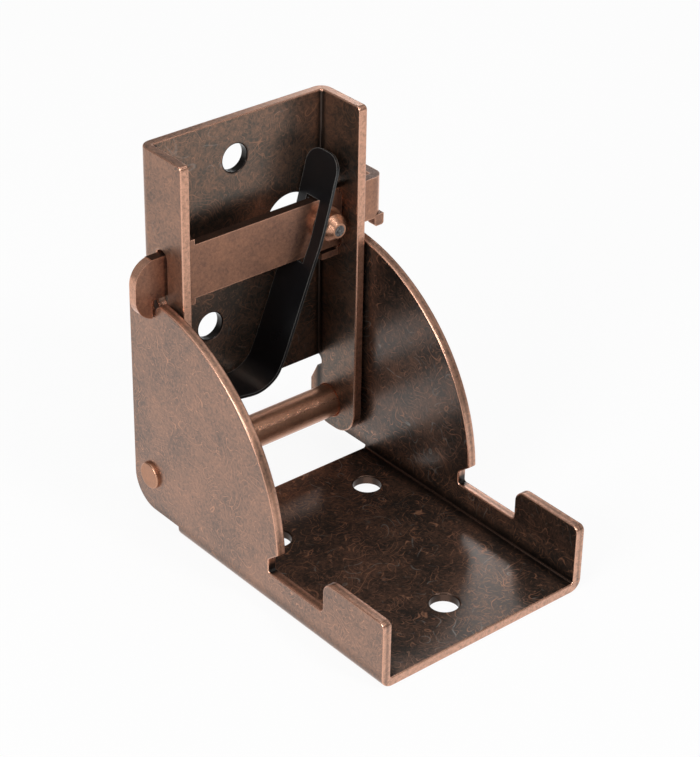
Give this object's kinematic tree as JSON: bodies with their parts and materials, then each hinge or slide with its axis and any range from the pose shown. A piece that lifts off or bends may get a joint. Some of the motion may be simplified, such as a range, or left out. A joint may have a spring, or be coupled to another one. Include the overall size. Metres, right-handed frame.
{
  "type": "folding leg bracket",
  "caption": "Folding table leg bracket of bent sheet steel: a channel turns on a pin in a tray with round ears, held open by a spring-loaded push-button bar",
  "frame": {"origin": "the middle of the table bracket's footprint, on the face that screws to the table", "axes": "+X from the pivot to the end the leg folds to, +Y along the pivot pin to the push button, +Z away from the table top, along the open leg"},
  "size_m": [0.0944, 0.0755, 0.0987],
  "materials": {
    "plated_sheet": "antique copper plating, mottled and satin, bright on the worn edges",
    "plated_pin": "antique copper plating, turned and polished",
    "spring_steel": "black oiled spring steel, glossy"
  },
  "bodies": {
    "base": {"table_bracket": "plated_sheet", "pivot_pin": "plated_pin"},
    "leg": {"leg_bracket": "plated_sheet", "leaf_spring": "spring_steel"},
    "latch": {"lock_bar": "plated_sheet", "lock_pin": "plated_pin"}
  },
  "joints": [
    {"name": "fold", "type": "hinge", "parent": "base", "child": "leg", "pos_m": [-0.04, 0, 0.013], "axis": [0, 1, 0], "range_deg": [0, 90]},
    {"name": "press_button", "type": "slide", "parent": "leg", "child": "latch", "axis": [0, -1, 0], "range_m": [0, 0.0044], "stiffness_N_per_m": 1500, "springref_m": -0.001, "deforming": ["leaf_spring"]}
  ]
}
